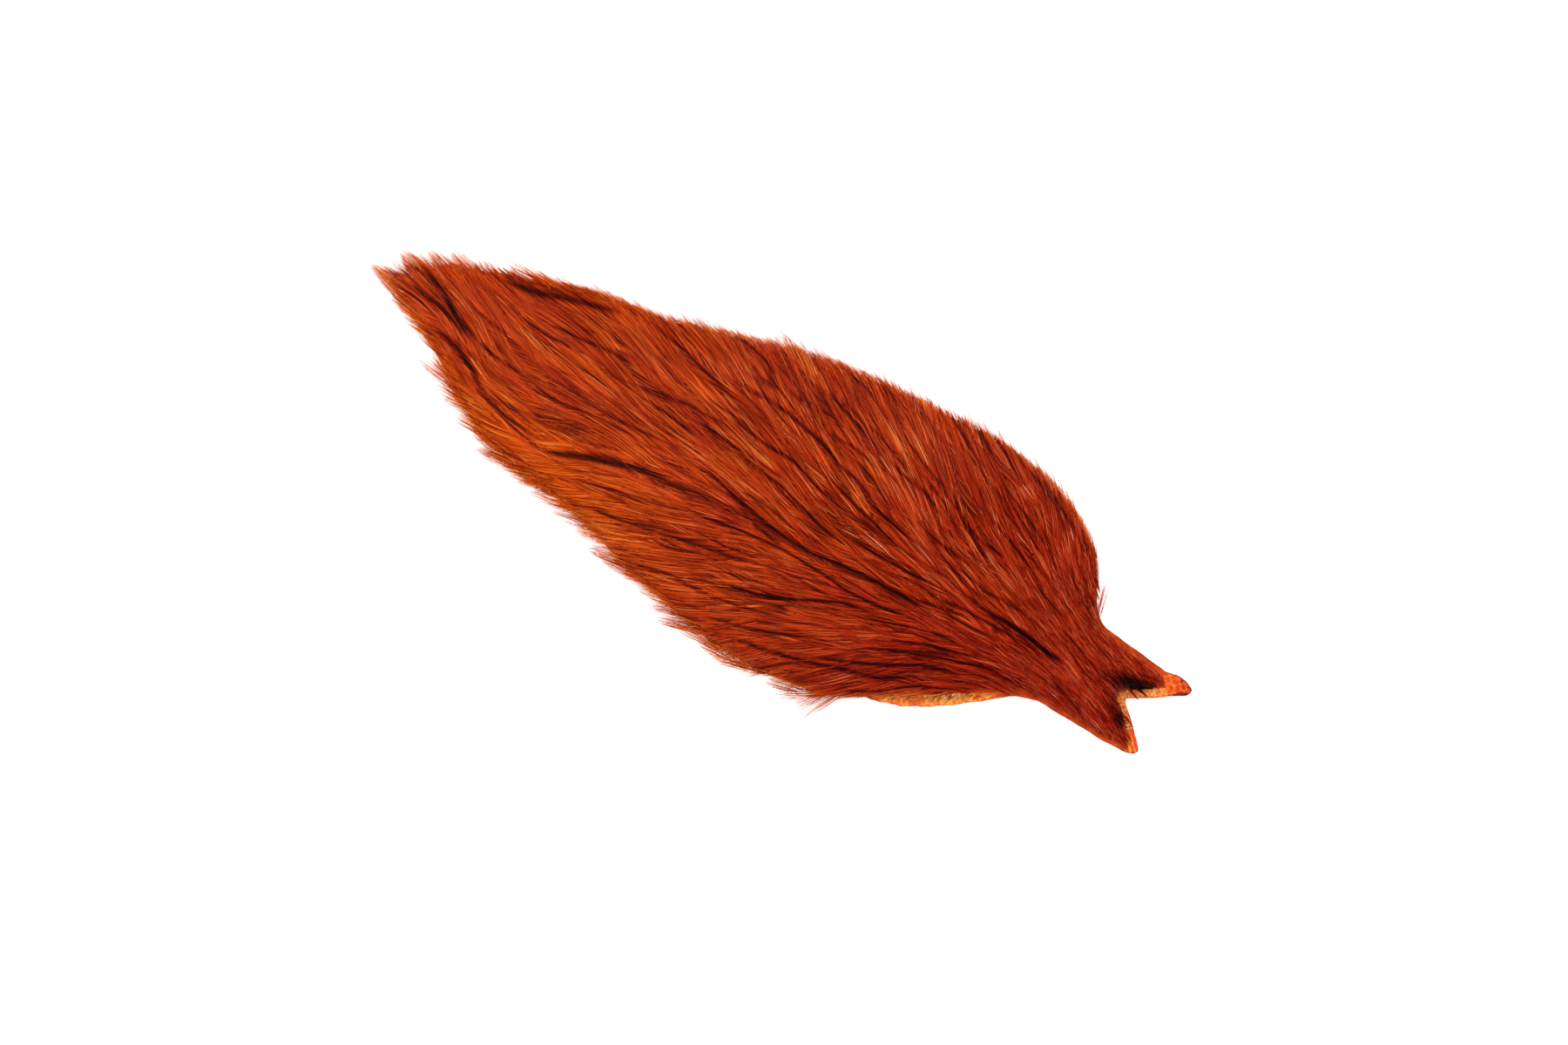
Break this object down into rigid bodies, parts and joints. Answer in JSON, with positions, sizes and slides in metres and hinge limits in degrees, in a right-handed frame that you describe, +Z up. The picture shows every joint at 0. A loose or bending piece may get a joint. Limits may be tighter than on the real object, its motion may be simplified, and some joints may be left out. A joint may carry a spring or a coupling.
{
  "type": "rooster neck cape",
  "caption": "Dried rooster's neck skin, forked at the head end, with its full coat of long overlapping hackle feathers dyed fiery orange-red, lying flat.",
  "frame": {"origin": "under the middle of the cape, on the surface that it lies on", "axes": "+X along the cape to the forked head end, +Y to the bird's left, +Z up out of the feathers"},
  "size_m": [0.2388, 0.0898, 0.0152],
  "materials": {
    "dried_skin": "dry, slightly translucent amber hide with pebbled feather follicles",
    "hackle_feathers": "fine glossy barbs, dyed orange-red, darker towards the head end"
  },
  "bodies": {
    "root": {"skin": "dried_skin", "mantle_hackles": "hackle_feathers", "shoulder_hackles": "hackle_feathers", "lower_neck_hackles": "hackle_feathers", "middle_neck_hackles": "hackle_feathers", "upper_neck_hackles": "hackle_feathers", "nape_hackles": "hackle_feathers", "crown_hackles": "hackle_feathers", "right_arm_hackles": "hackle_feathers", "left_arm_hackles": "hackle_feathers"}
  },
  "joints": []
}
